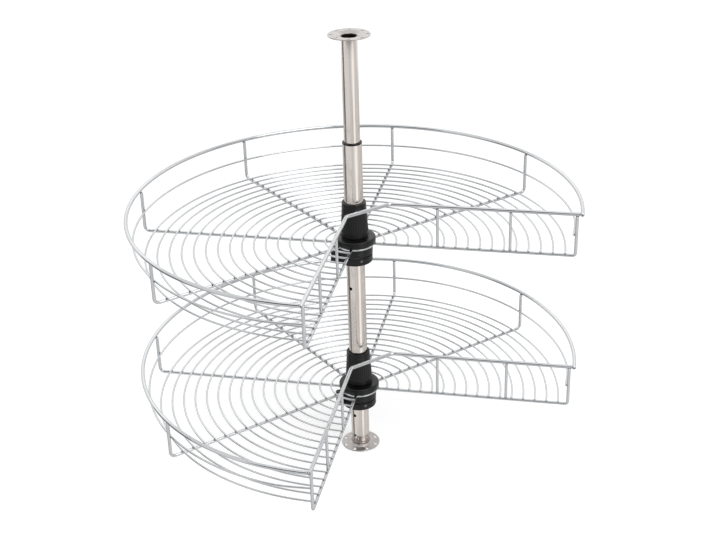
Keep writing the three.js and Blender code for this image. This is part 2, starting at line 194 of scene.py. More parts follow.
# %% [markdown]
# ## Black moulded plastic
#
# The hubs and the bush are injection moulded in black acetal. The mould is spark eroded, which gives a fine
# matt grain: no clear reflection, only a soft grey sheen along rounded edges. The grain is drawn 0.6 mm
# wide, about six times coarser than the real one, so that it still shows in a picture of the whole fitting.

# %% Black acetal
BLACK_PLASTIC, tree, place = new_material("black_moulded_acetal")
grain = add(tree, "ShaderNodeTexNoise", sockets={"Vector": place, "Scale": 1 / (0.6 * MM), "Detail": 2.0})
flow = add(tree, "ShaderNodeTexNoise", sockets={"Vector": place, "Scale": 1 / (14 * MM), "Detail": 3.0})
tone = add(tree, "ShaderNodeMix", {"data_type": "RGBA"},
           {0: flow.outputs["Fac"], 6: colour("#09090a"), 7: colour("#121214")})
matt = add(tree, "ShaderNodeMapRange", sockets={
    "Value": flow.outputs["Fac"], **NOISE_SPAN, "To Min": 0.26, "To Max": 0.38})
relief = add(tree, "ShaderNodeBump", sockets={
    "Height": grain.outputs["Fac"], "Strength": 0.45, "Distance": RELIEF})
finish_material(tree, add(tree, "ShaderNodeBsdfPrincipled", sockets={
    "Base Color": tone.outputs[2], "Roughness": matt.outputs[0], "IOR": 1.48, "Specular IOR Level": 0.34,
    "Normal": relief.outputs[0]}))
print("plastic:", BLACK_PLASTIC.name)

# %% [markdown]
# ## Nylon and zinc
#
# The sliding washer between ring and hub is natural nylon: milky, slightly yellow, waxy, with its tone set
# darker as painted shade, since it sits in the shaded gap between cup and ring. The set screw is steel with
# a bright zinc plate, which shows fine crystals, so its tone comes from the cells of a Voronoi pattern 0.6
# mm wide.

# %% Natural nylon and zinc-plated steel
NYLON, tree, place = new_material("natural_nylon")
# The washer's tone is darkened: painted shade of the gap between cup and ring.
cloud = add(tree, "ShaderNodeTexNoise", sockets={"Vector": place, "Scale": 1 / (4 * MM), "Detail": 3.0})
tone = add(tree, "ShaderNodeMix", {"data_type": "RGBA"},
           {0: cloud.outputs["Fac"], 6: colour("#bab5a9"), 7: colour("#ccc8bd")})
matt = add(tree, "ShaderNodeMapRange", sockets={
    "Value": cloud.outputs["Fac"], "To Min": 0.42, "To Max": 0.58})
finish_material(tree, add(tree, "ShaderNodeBsdfPrincipled", sockets={
    "Base Color": tone.outputs[2], "Roughness": matt.outputs[0], "IOR": 1.53}))

ZINC, tree, place = new_material("zinc_plated_steel")
crystals = add(tree, "ShaderNodeTexVoronoi", sockets={"Vector": place, "Scale": 1 / (0.6 * MM)})
tone = add(tree, "ShaderNodeMix", {"data_type": "RGBA"},
           {0: crystals.outputs["Distance"], 6: colour("#adafb2"), 7: colour("#94969a")})
smooth = add(tree, "ShaderNodeMapRange", sockets={
    "Value": crystals.outputs["Distance"], "To Min": 0.3, "To Max": 0.44})
finish_material(tree, add(tree, "ShaderNodeBsdfPrincipled", sockets={
    "Base Color": tone.outputs[2], "Metallic": 1.0, "Roughness": smooth.outputs[0]}))
print("small parts:", NYLON.name, ZINC.name)

# %% [markdown]
# ## From arrays to a piece
#
# Every surface below is a grid of points: rows along a path or a profile, and sides round it. A grid that
# wraps round on itself needs only its corner numbers worked out once. The open ends are closed with one
# flat face each, so no seam or pole stays open. A finished piece then rides on its CAD body, carries a
# material named for its finish, and stands for the plain solid that it replaces, which is hidden.

# %% Grids, pieces and cuts
def grid_faces(rows, sides, loop=False):
    """Four corner numbers for each patch: a side in its row, the next side, and both in the row ahead."""
    row, side = np.meshgrid(np.arange(rows if loop else rows - 1), np.arange(sides), indexing="ij")
    here, ahead, beside = row * sides, (row + 1) % rows * sides, (side + 1) % sides
    return np.stack([here + side, here + beside, ahead + beside, ahead + side], -1).reshape(-1, 4)


def grid_shape(points, loop=False):
    """A shape is its points and its blocks of faces. Without a loop, both end rows get flat caps."""
    rows, sides = points.shape[:2]
    blocks = [grid_faces(rows, sides, loop)]
    if not loop:
        first = np.arange(sides)
        blocks.append(np.stack([first[::-1], first + (rows - 1) * sides]))
    return points.reshape(-1, 3), blocks


def together(shapes):
    """Several shapes as one: each one's corner numbers move up by the points that come before it."""
    offsets = np.cumsum([0] + [len(points) for points, _ in shapes])
    blocks = [block + offset for (_, own), offset in zip(shapes, offsets) for block in own]
    return np.concatenate([points for points, _ in shapes]), blocks


def new_object(name, shape):
    """A shape in mm becomes a mesh in metres, on an object at the origin."""
    points, blocks = shape
    mesh = bpy.data.meshes.new(name)
    mesh.from_pydata((points * MM).tolist(), [], [face for block in blocks for face in block.tolist()])
    item = bpy.data.objects.new(name, mesh)
    bpy.context.collection.objects.link(item)
    return item


def carve(item, shape, operation):
    """Join on or cut out a shape with an exact Boolean, and keep only the finished mesh."""
    tool = new_object("tool", shape)
    boolean = item.modifiers.new("carve", "BOOLEAN")
    boolean.operation, boolean.solver, boolean.object = operation, "EXACT", tool
    finished = bpy.data.meshes.new_from_object(item.evaluated_get(bpy.context.evaluated_depsgraph_get()))
    item.modifiers.clear()
    item.data = finished
    bpy.data.objects.remove(tool)


def make_piece(name, shape, body, material, stands_for=(), join=(), cut=(), crease=32):
    """Build, join, cut, smooth all but the creases, hang it on its body and hide what it stands for."""
    item = new_object(name, shape)
    for extra in join:
        carve(item, extra, "UNION")
    for extra in cut:
        carve(item, extra, "DIFFERENCE")
    item.data.name = name
    item.data.materials.clear()
    item.data.materials.append(material)
    item.data.shade_smooth()
    item.data.set_sharp_from_angle(angle=math.radians(crease))
    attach(item, body)
    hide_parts(*stands_for)
    return item


print("one ring of 4 sides gives faces", grid_faces(2, 4).shape)

# %% [markdown]
# ## Turned parts and rounded corners
#
# Tubes, flanges, washers and hubs are all round, so each is a closed profile carried round the post. Real
# edges are never sharp: a pressing has the press tool's radius and a moulding has the mould's. So a profile
# is written as corners with a radius each, and one function draws the arcs. A fourth number on a corner
# says how much of a wave goes into the distance from the post there, which is all that it takes for flutes
# or for a hexagon socket.

# %% Profiles
CORE = 0.01  # a solid rod's profile stops this far from its axis, where a tiny flat cap closes it


def rounded(corners, steps=4):
    """Corners (x, y, radius, ...) to arcs. An arc touches both legs at radius / tan(half the corner's
    angle), and its centre is on the bisector at radius / sin(half the angle). Points in between turn evenly
    about the centre."""
    corners = np.array(corners, float)
    place, radius, extra = corners[:, None, :2], corners[:, None, 2:3], corners[:, None, 3:]
    legs = [np.roll(place, shift, 0) - place for shift in (1, -1)]
    back, on = [leg / np.linalg.norm(leg, axis=2, keepdims=True) for leg in legs]
    half = np.arccos(np.clip((back * on).sum(2, keepdims=True), -1, 1)) / 2
    bisector = back + on
    bisector /= np.maximum(np.linalg.norm(bisector, axis=2, keepdims=True), 1e-9)
    centre = place + bisector * radius / np.sin(half)
    start, end = [place + leg * radius / np.tan(half) - centre for leg in (back, on)]
    share, turn = np.linspace(0, 1, steps + 1)[None, :, None], np.maximum(np.pi - 2 * half, 1e-6)
    arc = centre + (np.sin((1 - share) * turn) * start + np.sin(share * turn) * end) / np.sin(turn)
    points = np.concatenate([arc, np.broadcast_to(extra, (*arc.shape[:2], extra.shape[2]))], 2)
    points = points.reshape(-1, corners.shape[1] - 1)
    apart = np.linalg.norm(np.diff(points[:, :2], axis=0), axis=1) > 1e-6
    return points[np.concatenate([[True], apart])]


def turned(profile, sides=128, wave=None, solid_ends=False):
    """A profile carried round Z: x = r cos t, y = r sin t, with r = radius + amount of wave * wave(t)."""
    profile = np.asarray(profile, float)
    ahead = np.roll(profile, -1, 0)
    if (profile[:, 0] * ahead[:, 1] - ahead[:, 0] * profile[:, 1]).sum() < 0:
        profile = profile[::-1]
    turn = 2 * np.pi * np.arange(sides) / sides
    radius = profile[:, :1] + (profile[:, 2:3] * wave(turn) if wave else 0 * turn)
    height = np.broadcast_to(profile[:, 1:2], radius.shape)
    return grid_shape(np.stack([radius * np.cos(turn), radius * np.sin(turn), height], -1), not solid_ends)


def raised(shape, height):
    """The same shape higher up the post."""
    points, blocks = shape
    return points + np.array([0, 0, height]), blocks


def turned_about_post(shape, degrees):
    """The same shape turned about the post: x' = x cos a - y sin a, y' = x sin a + y cos a."""
    points, blocks = shape
    c, s = math.cos(math.radians(degrees)), math.sin(math.radians(degrees))
    return points @ np.array([[c, s, 0], [-s, c, 0], [0, 0, 1]]), blocks


def laid_over(shape, height, degrees):
    """A turned shape laid over to point outwards: x' = z, y' = -y, z' = x, then raised and turned."""
    points, blocks = shape
    return turned_about_post((points[:, [2, 1, 0]] * [1, -1, 1] + [0, 0, height], blocks), degrees)


def radial_rod(radius, start, end, height, degrees):
    """A round rod from one distance from the post to another, for drilling."""
    profile = [[CORE, start], [radius, start], [radius, end], [CORE, end]]
    return laid_over(turned(profile, 24, solid_ends=True), height, degrees)


print("a corner becomes", len(rounded([[0, 0, 1], [9, 0, 0], [0, 9, 0]])) - 2, "points")

# %% [markdown]
# ## The post
#
# The main tube is 30 mm across with three small holes, and the 25 mm top tube slides in a black bush in its
# mouth. The flanges are one pressing at both ends: a thin plate whose middle is pushed up into a ring round
# the tube, which leaves a dish in the other face, and eight screw holes. The same profile, mirrored, makes
# the upper one. The holes are cut last and are dimpled for the screw heads. Neighbours stay 0.3 mm apart,
# so that nothing touches.

# %% Post sizes, mm
POST_HEIGHT, TUBE_TOP = 711.0, 541.0
GAP, TUBE_OVERLAP = 0.3, 120.0
TUBE_RADIUS, TOP_TUBE_RADIUS, TUBE_WALL, END_LAND, COUNTERSINK = 15.0, 12.5, 1.2, 0.4, 1.2
TUBE_HOLE_RADIUS, TUBE_HOLE_ANGLE, TUBE_HOLE_HEIGHTS = 2.8, 246, (19.5, 59.3, 298)
FLANGE_RADIUS, PLATE, RING_TOP, RING_CREST, RING_FOOT, DISH = 32.0, 1.7, 4.4, 2.1, 21.3, 2.5
HOLE_CIRCLE, HOLE_RADIUS, FIRST_HOLE, DIMPLE_BELOW, DIMPLE_ABOVE = 27.0, 2.6, 34.5, 3.6, 3.9
BUSH_BORE, BUSH_RADIUS, BUSH_FOOT, LIP_RADIUS, LIP_TOP = 12.8, 13.5, 511.0, 15.4, 543.6


def tube_profile(radius, bottom, top):
    """A wall with rounded outer edges, and mouths countersunk inside as a deburring cone leaves them."""
    bore = radius - TUBE_WALL
    return rounded([[bore, bottom + COUNTERSINK, 0.2], [radius - END_LAND, bottom, 0.1],
                    [radius, bottom, 0.15], [radius, top, 0.15],
                    [radius - END_LAND, top, 0.1], [bore, top - COUNTERSINK, 0.2]], 3)


def flange_profile(tube_radius):
    """Dish and plate below, the plate's rim, the ring's flank, its crest, and back down the bore."""
    bore, crest = tube_radius + GAP, tube_radius + RING_CREST
    return rounded([[bore, DISH, 0.3], [RING_FOOT, 0, 4], [FLANGE_RADIUS, 0, 0.4],
                    [FLANGE_RADIUS, PLATE, 0.7], [RING_FOOT, PLATE, 0.8],
                    [crest, RING_TOP, 1.5], [bore, RING_TOP, 1.0]], 6)


def screw_holes():
    """Eight punches on one circle, wider at both faces of the plate, which is dimpled for the screws."""
    flare = [[CORE, -0.5], [DIMPLE_BELOW, -0.5], [HOLE_RADIUS, 0.6], [HOLE_RADIUS, PLATE - 0.7],
             [DIMPLE_ABOVE, PLATE + 0.7], [DIMPLE_ABOVE, 5], [CORE, 5]]
    points, blocks = turned(flare, 32, solid_ends=True)
    punch = points + np.array([HOLE_CIRCLE, 0, 0]), blocks
    return together([turned_about_post(punch, FIRST_HOLE + 45 * number) for number in range(8)])


def upside_down(shape):
    """The same shape turned over about the X axis, at the top of the post: y and z change sign."""
    points, blocks = shape
    return points * [1, -1, -1] + [0, 0, POST_HEIGHT], blocks


# %% Flanges, tubes and bush
make_piece("floor_flange_pressing", turned(flange_profile(TUBE_RADIUS), 160), "post", NICKEL_PRESSING,
           ["floor_flange"], cut=[screw_holes()])
make_piece("ceiling_flange_pressing", upside_down(turned(flange_profile(TOP_TUBE_RADIUS), 160)), "mast",
           NICKEL_PRESSING, ["ceiling_flange"], cut=[upside_down(screw_holes())])
tube_holes = together([radial_rod(TUBE_HOLE_RADIUS, 8, 30, height, TUBE_HOLE_ANGLE)
                       for height in TUBE_HOLE_HEIGHTS])
main_tube = tube_profile(TUBE_RADIUS, DISH + GAP, TUBE_TOP)
make_piece("main_tube_drawn", turned(main_tube, 160), "post", NICKEL_TUBE, ["main_tube"],
           cut=[tube_holes])
top_tube = tube_profile(TOP_TUBE_RADIUS, TUBE_TOP - TUBE_OVERLAP, POST_HEIGHT - DISH - GAP)
make_piece("top_tube_drawn", turned(top_tube, 160), "mast", NICKEL_TUBE, ["top_tube"])
bush = rounded([[BUSH_BORE, BUSH_FOOT, 0.3], [BUSH_RADIUS, BUSH_FOOT, 0.3], [BUSH_RADIUS, TUBE_TOP + GAP, 0],
                [LIP_RADIUS, TUBE_TOP + GAP, 0.4], [LIP_RADIUS, LIP_TOP, 1.0], [BUSH_BORE, LIP_TOP, 0.6]], 4)
make_piece("collar_bush_moulding", turned(bush, 128), "post", BLACK_PLASTIC,
           ["collar_bush"])

# %% [markdown]
# ## Bent wire
#
# Wire is a circle carried along a path. Every path here lies in one plane, so the circle never has to
# twist: one of its directions is always the plane's normal. The other points sideways in the plane, and is
# stretched a little in a bend so that the wire keeps its thickness. The cut ends get a small chamfer, as a
# shear and the plating leave them.

# %% Wire along a flat path
UP = np.array([0.0, 0.0, 1.0])
BEND_STEPS, CHAMFER = 12, 0.12


def wire(path, normal, diameter, sides=16):
    """A round wire with chamfered ends. Circle points = path + radius * (cos t * sideways + sin t *
    normal), with sideways = normal x direction. The direction is the mean of those before and after a
    point, and sideways is divided by the cosine of half the turn."""
    chamfer, first, last = CHAMFER * diameter, path[1] - path[0], path[-1] - path[-2]
    inset = [path[0] + chamfer * first / np.linalg.norm(first),
             path[-1] - chamfer * last / np.linalg.norm(last)]
    path = np.vstack([path[:1], inset[:1], path[1:-1], inset[1:], path[-1:]])
    radius = np.full(len(path), diameter / 2)
    radius[[0, -1]] -= chamfer
    legs = np.diff(path, axis=0)
    legs /= np.linalg.norm(legs, axis=1, keepdims=True)
    direction = (np.vstack([legs, legs[-1:]]) + np.vstack([legs[:1], legs])) / 2
    half_turn = np.linalg.norm(direction, axis=1, keepdims=True)
    sideways = np.cross(normal, direction / half_turn) / half_turn
    turn = 2 * np.pi * np.arange(sides)[None, :, None] / sides
    circle = np.cos(turn) * sideways[:, None] + np.sin(turn) * normal
    return grid_shape(path[:, None] + radius[:, None, None] * circle)


def arc_path(radius, start, end, height, step=2.0):
    """Points on a circle round the post between two angles. The radius may change with the angle."""
    turn = np.radians(np.linspace(start, end, max(2, round((end - start) / step) + 1)))
    return np.stack([radius * np.cos(turn), radius * np.sin(turn), np.full(len(turn), height)], -1)


def upright_path(corners, degrees):
    """Distances from the post and heights, with rounded corners, set up in the plane at one angle."""
    flat, turn = rounded(corners, BEND_STEPS), math.radians(degrees)
    return np.stack([flat[:, 0] * math.cos(turn), flat[:, 0] * math.sin(turn), flat[:, 1]], -1)


def across(degrees):
    """The direction square to the upright plane at one angle."""
    return np.array([-math.sin(math.radians(degrees)), math.cos(math.radians(degrees)), 0])


print("a quarter circle has", len(arc_path(100, 0, 90, 0)), "points")

# %% [markdown]
# ## The sizes of a tray
#
# Both tiers are the same tray. The middle of the edge spokes is height 0 on a tray. The floor is sixteen
# rings of 3 mm wire, 18.8 mm apart, which rest on seven 5 mm spokes. Five of the spokes bend up outside the
# 3.2 mm wall wire to the 6 mm rim, and the two at the edges of the notch bend up more sharply under the
# rail.

# %% Tray sizes, mm
FLOORS = {"lower": 108.0, "upper": 374.0}
RIM_RADIUS, UPRIGHT_RADIUS, WALL_RADIUS, END_RADIUS, WALL_END_RADIUS = 352.0, 349.0, 344.6, 344.5, 340.1
RIM, SPOKE, FLOOR_WIRE, WALL_WIRE, EDGE_WIRE, HUB_WIRE = 6.0, 5.0, 3.0, 3.2, 4.4, 4.8
RIM_HEIGHT, WALL_HEIGHT, RING_LEVEL, SPOKE_LEVEL, UPRIGHT_TOP = 69.0, 34.5, 3.5, -0.8, 65.7
NOTCH, SPOKE_START, HUB_WIRE_RADIUS, RING_TAIL, WALL_SWING = 270.0, 30.5, 29.0, 2, 11
RAIL_START, RAIL_CORNER, RAIL_BEND, RAIL_END = 349.1, 57.0, 12.0, 354.8
FIRST_RING, PITCH, SPOKE_BEND, END_BEND = 46.9, 18.8, 8.0, 4.5
RINGS = FIRST_RING + PITCH * np.arange(16)
EDGE_UPRIGHTS = {"inner": FIRST_RING + 4.5 * PITCH, "middle": FIRST_RING + 10.5 * PITCH}
SPOKE_ANGLES, EDGES = [45, 90, 135, 180, 225], (0, 270)
print("floor rings:", np.round(RINGS, 1))

# %% [markdown]
# ## Floor, wall and rim
#
# Each floor ring runs 2 mm past the middle of the edge spokes. The wall wire swings in at both ends to meet
# the end uprights from inside, along a smooth step. The rail follows both edges of the notch and cuts the
# corner in front of the hub. The rim covers the rail's end on one edge and stops against the rail on the
# other.

# %% Tray wires
def floor_rings():
    """Sixteen arcs, each longer at both ends by the angle whose sine is tail / radius."""
    tails = np.degrees(np.arcsin(RING_TAIL / RINGS))
    return together([
        wire(arc_path(radius, -tail, NOTCH + tail, RING_LEVEL, step=2.5), UP, FLOOR_WIRE, sides=12)
        for radius, tail in zip(RINGS, tails)])


def spoke(degrees, level, end, bend):
    """Out from the hub at one level, round the bend, and up to the rim."""
    corners = [[SPOKE_START, level, 0], [end, level, bend], [end, UPRIGHT_TOP, 0]]
    return wire(upright_path(corners, degrees), across(degrees), SPOKE)


def edge_upright(distance, degrees):
    """A straight wire. Its middle corner is a hair off the line, because an arc needs an angle."""
    corners = [[distance, 2.8, 0], [distance + 0.001, 30, 0], [distance, UPRIGHT_TOP, 0]]
    return wire(upright_path(corners, degrees), across(degrees), EDGE_WIRE, sides=14)


def wall_wire():
    """Radius = end radius + step * (wall radius - end radius), step = s * s * (3 - 2 s) over the swing."""
    turn = np.linspace(0, NOTCH, 181)
    share = np.clip(np.minimum(turn, NOTCH - turn) / WALL_SWING, 0, 1)
    radius = WALL_END_RADIUS + (WALL_RADIUS - WALL_END_RADIUS) * share * share * (3 - 2 * share)
    return wire(arc_path(radius, 0, NOTCH, WALL_HEIGHT, step=1.5), UP, WALL_WIRE, sides=12)


def rim_wire():
    """An arc that starts and ends earlier than the notch's edges by half a wire, as an angle."""
    half_wire = math.degrees(RIM / 2 / RIM_RADIUS)
    return wire(arc_path(RIM_RADIUS, -half_wire, NOTCH - half_wire, RIM_HEIGHT, step=1.5), UP, RIM, sides=20)


def notch_rail():
    """In along +X, across the corner and out along -Y, with a bend at each corner."""
    path = rounded([[RAIL_START, 0, 0], [RAIL_CORNER, 0, RAIL_BEND], [0, -RAIL_CORNER, RAIL_BEND],
                    [0, -RAIL_END, 0]], BEND_STEPS)
    return wire(np.column_stack([path, np.full(len(path), RIM_HEIGHT)]), UP, RIM, sides=20)


def hub_wire():
    """Distance from the post = ring's radius + half a wire * cos t, and height = half a wire * sin t."""
    turn = np.linspace(0, 2 * np.pi, 17)[:-1]
    return turned(HUB_WIRE / 2 * np.stack([np.cos(turn), np.sin(turn)], -1) + [HUB_WIRE_RADIUS, 0], 96)


def tray_wire(tier, name, shape, node):
    """One piece of bright wire, raised to its tray's height, which stands for one of the tray's solids."""
    make_piece(f"{tier}_{name}", raised(shape, FLOORS[tier]), f"{tier}_tray", CHROME_WIRE,
               [f"{tier}_{node}"])


for tier in FLOORS:
    tray_wire(tier, "floor_rings", floor_rings(), "floor_wires")
    for degrees in EDGES:
        tray_wire(tier, f"edge_spoke_{degrees:03}", spoke(degrees, 0, END_RADIUS, END_BEND), "floor_wires")
    for degrees in SPOKE_ANGLES:
        node, shape = f"spoke_{degrees:03}", spoke(degrees, SPOKE_LEVEL, UPRIGHT_RADIUS, SPOKE_BEND)
        tray_wire(tier, f"{node}_bent", shape, node)
    for position, distance in EDGE_UPRIGHTS.items():
        for label, degrees in zip("ab", EDGES):
            node = f"{position}_upright_{label}"
            tray_wire(tier, f"{node}_cut", edge_upright(distance, degrees), node)
    for make_shape in (wall_wire, rim_wire, notch_rail, hub_wire):
        node = make_shape.__name__
        tray_wire(tier, f"{node}_bent", make_shape(), node)

# %% [markdown]
# ## Weld beads
#
# Where two wires cross, a resistance welder squeezes them together and a little steel swells out at the
# joint. These beads are what holds the tray together, and their darker tone is painted shade where the wires
# meet, so from across the room they are the small dark dots in the grid. The cut faces of rail and rim are
# given the same dark tone, so they are drawn as two very flat beads.
# There are 136 on a tray, so a bead is a ball of only 34 faces, pressed flat and turned to its joint. All
# beads of a tray are one array: size, place and angle of each bead times the points of one ball.

# %% Beads on every joint
BALL_ROWS, BALL_SIDES = 5, 8
BALL_FACES = (BALL_ROWS - 1) * BALL_SIDES + 2


def ball():
    """Latitude from -66 to 66 degrees and longitude once round, closed by a flat cap at each end."""
    tilt = np.radians(np.linspace(-66, 66, BALL_ROWS))[:, None]
    turn = 2 * np.pi * np.arange(BALL_SIDES) / BALL_SIDES
    height = np.broadcast_to(np.sin(tilt), (BALL_ROWS, BALL_SIDES))
    return grid_shape(np.stack([np.cos(tilt) * np.cos(turn), np.cos(tilt) * np.sin(turn), height], -1))


def beads_at(distances, angles, height, half_sizes):
    """A row for each bead: distance from the post, angle, height, and half sizes out, round and up."""
    return [[distance, angle, height, *half_sizes] for angle in angles for distance in distances]


def weld_beads():
    """Point = (distance + half size * ball's x, half size * ball's y), turned by the angle, and height +
    half size * ball's z. A ring meets a spoke half-way between the ring's underside and the spoke's top."""
    contact = (RING_LEVEL - FLOOR_WIRE / 2 + SPOKE_LEVEL + SPOKE / 2) / 2
    edge_uprights = EDGE_UPRIGHTS.values()
    rows = [
        *beads_at(RINGS, SPOKE_ANGLES, contact + 0.1, (2.1, 2.3, 1.0)),  # floor ring on spoke
        *beads_at(RINGS, EDGES, 2.3, (2.1, 2.3, 1.0)),  # floor ring on edge spoke
        *beads_at([350.2], SPOKE_ANGLES, 66.2, (2.2, 2.8, 1.6)),  # upright under rim
        *beads_at([346.4], SPOKE_ANGLES, WALL_HEIGHT, (0.9, 2.0, 2.0)),  # wall wire inside upright
        *beads_at([341.8], (0.12, 269.88), WALL_HEIGHT, (1.0, 2.0, 1.9)),  # wall wire inside end upright
        *beads_at([END_RADIUS, *edge_uprights], EDGES, 65.9, (2.4, 2.6, 0.8)),  # upright under rail
        *beads_at(edge_uprights, EDGES, 2.9, (2.5, 2.4, 0.8)),  # upright on edge spoke
        *beads_at([354.6], [270], RIM_HEIGHT, (0.3, 2.2, 2.3)),  # cut end of rail
        *beads_at([RIM_RADIUS], [-0.44], RIM_HEIGHT, (2.2, 0.45, 2.3)),  # cut end of rim
    ]
    radius, degrees, height, *half = np.array(rows).T
    points, (quads, caps) = ball()
    turn = np.radians(degrees)
    c, s = np.cos(turn)[:, None], np.sin(turn)[:, None]
    out, along, up = [size[:, None] * points[:, axis] for axis, size in enumerate(half)]
    out = out + radius[:, None]
    placed = np.stack([out * c - along * s, out * s + along * c, up + height[:, None]], -1).reshape(-1, 3)
    offsets = len(points) * np.arange(len(rows))[:, None, None]
    return placed, [(block + offsets).reshape(-1, block.shape[1]) for block in (quads, caps)]


for tier, floor in FLOORS.items():
    beads = make_piece(f"{tier}_weld_beads", raised(weld_beads(), floor), f"{tier}_tray", WELD_CHROME_PAINTED_SHADE,
                       crease=60)
    print(beads.name, len(beads.data.polygons) // BALL_FACES, "beads")

# %% [markdown]
# ## The hubs
#
# A hub is three mouldings round the tube: a cup under the spokes, a thick disc on top of them, and a sleeve
# above with grip flutes on its lower half. Under it a ring is clamped to the tube by a set screw, with a
# nylon washer between the two. Each is a profile with the mould's radii. The flutes are a wave in the
# radius: the square root of a sine makes broad ribs with narrow grooves between them, thirty-four round the
# sleeve.

# %% Hub profiles, mm above the tray's middle
BORE, CUP_FOOT, SUPPORT_BORE, SUPPORT_FOOT, SUPPORT_TOP = 15.45, -16, 15.3, -29.6, -17.6
FLUTES, FLUTE_DEPTH = 34, 0.85
LUG_ROOT, LUG_REACH, LUG_HALF, LUG_CHAMFER, LUG_ANGLE = 20.5, 39.5, 5.0, 0.6, 200


def flutes(turn):
    """0 on top of each rib and -1 in each groove: the square root of the sine's size, less 1."""
    return np.sqrt(np.abs(np.sin(FLUTES * turn / 2))) - 1


def lug(bottom, top):
    """A slab with a round end, as four outlines one above the other. The first and last are smaller by the
    edge's chamfer, and each end is rounded by just under half of its width."""
    rows = []
    edge = LUG_CHAMFER
    for inset, height in ((edge, bottom), (0, bottom + edge), (0, top - edge), (edge, top)):
        side, tip = LUG_HALF - inset, LUG_REACH - inset
        outline = rounded([[LUG_ROOT, -side, 0], [tip, -side, side * 0.98], [tip, side, side * 0.98],
                           [LUG_ROOT, side, 0]], 8)
        rows.append(np.column_stack([outline, np.full(len(outline), height)]))
    return turned_about_post(grid_shape(np.array(rows)), LUG_ANGLE)


CUP = rounded([[BORE, CUP_FOOT, 0.4], [27.2, CUP_FOOT, 0.3], [28, -15.2, 0.4], [28, -9.9, 0.1],
               [27.6, -9.5, 0.1], [27.6, -9.1, 0.1], [28, -8.7, 0.1], [28, -2.7, 0.5],
               [26.3, -2.7, 0.2], [26.3, 2.4, 0.3], [BORE, 2.4, 0.2]], 3)
DISC = rounded([[BORE, 2.7, 0.2], [33, 2.7, 0.6], [33, 12.5, 2.9], [23.6, 12.5, 0.4], [23.0, 11.7, 0.3],
                [20.2, 11.7, 0.3], [20.2, 13.4, 0.2], [21.5, 13.7, 0.5], [21.5, 18.6, 0.5], [20.2, 19, 0.2],
                [20.2, 21, 0.2], [BORE, 21, 0.2]], 6)
SLEEVE = rounded([[BORE, 21.3, 0.3, 0], [21.9, 21.3, 0.5, 0], [21.87, 22.4, 0, 0],
                  [21.85, 23.2, 0, FLUTE_DEPTH], [19.85, 53, 0, FLUTE_DEPTH], [19.8, 54.2, 0, 0],
                  [19.7, 56.3, 0.3, 0], [19.35, 63, 0.1, 0], [18.9, 63.4, 0.2, 0], [18.85, 64.6, 0.2, 0],
                  [19.25, 65.1, 0.1, 0], [19.05, 70.8, 0.8, 0], [BORE + 0.5, 70.8, 0.3, 0],
                  [BORE, 70.3, 0.1, 0]], 4)
WASHER = rounded([[BORE, -17.3, 0.1], [25.4, -17.3, 0.25], [25.4, -16.3, 0.25], [BORE, -16.3, 0.1]], 3)
SUPPORT = rounded([[SUPPORT_BORE, SUPPORT_FOOT, 0.4], [26.8, SUPPORT_FOOT, 0.3], [27.6, -28.8, 0.4],
                   [27.6, SUPPORT_TOP, 0.6], [SUPPORT_BORE, SUPPORT_TOP, 0.3]], 4)
print("sleeve profile:", len(SLEEVE), "points, flutes", round(2 * math.pi * 21.9 / FLUTES, 1), "mm apart")

# %% [markdown]
# ## The set screw
#
# A headless screw with a hexagon socket, which sits just under the ring's side. It is turned like the rest,
# and the socket is again a wave in the radius: a hexagon's edge lies at its half width divided by the
# cosine of the angle from the nearest flat. Then it is laid over so that it points away from the post.

# %% Set screw and hub pieces
SCREW_HEIGHT, SCREW_ANGLE, SCREW_HOLE_RADIUS = -22.5, 304, 2.8


def hexagon(turn):
    """1 / cos(angle from the nearest flat) - 1, which is 0 on a flat and largest on a corner."""
    return 1 / np.cos((turn + np.pi / 6) % (np.pi / 3) - np.pi / 6) - 1


def set_screw():
    """From the tube outwards: point, thread, chamfered rim, and down the hexagon socket to its floor."""
    profile = rounded([[0.05, 15.3, 0, 0], [1.5, 15.3, 0, 0], [2.5, 16.3, 0, 0], [2.5, 26.4, 0.2, 0],
                       [1.9, 26.8, 0.1, 0], [1.3, 26.6, 0, 1.3], [1.25, 24.2, 0, 1.25],
                       [0.05, 23.7, 0, 0]], 3)
    return laid_over(turned(profile, 48, hexagon, solid_ends=True), SCREW_HEIGHT, SCREW_ANGLE)


for tier, floor in FLOORS.items():
    tray, support = f"{tier}_tray", f"{tier}_support"
    make_piece(f"{tier}_hub_cup_moulding", raised(turned(CUP), floor), tray, BLACK_PLASTIC,
               [f"{tier}_hub_cup"], join=[raised(lug(CUP_FOOT, -3.7), floor)])
    make_piece(f"{tier}_hub_flange_moulding", raised(turned(DISC, 160), floor), tray, BLACK_PLASTIC,
               [f"{tier}_hub_flange"])
    make_piece(f"{tier}_hub_sleeve_moulding", raised(turned(SLEEVE, 480, flutes), floor), tray,
               BLACK_PLASTIC, [f"{tier}_hub_sleeve"], crease=50)
    make_piece(f"{tier}_slide_washer_punched", raised(turned(WASHER), floor), support, NYLON,
               [f"{tier}_slide_washer"])
    make_piece(f"{tier}_support_ring_moulding", raised(turned(SUPPORT), floor), support, BLACK_PLASTIC,
               [f"{tier}_support_ring"],
               join=[raised(lug(SUPPORT_FOOT, SUPPORT_TOP), floor)],
               cut=[radial_rod(SCREW_HOLE_RADIUS, 8, 60, floor + SCREW_HEIGHT, SCREW_ANGLE)])
    make_piece(f"{tier}_set_screw_turned", raised(set_screw(), floor), support, ZINC,
               [f"{tier}_set_screw"])

# %% [markdown]
# ## The camera
#
# The photograph was matched by fitting a camera to the tray rims, the post and the flanges: it stands 12
# degrees to the right of the notch's edge, looks down at 26 degrees from 2.1 m away, and is tilted by a
# degree and a half. The lens is a short telephoto, 65 mm on a 36 mm wide frame.

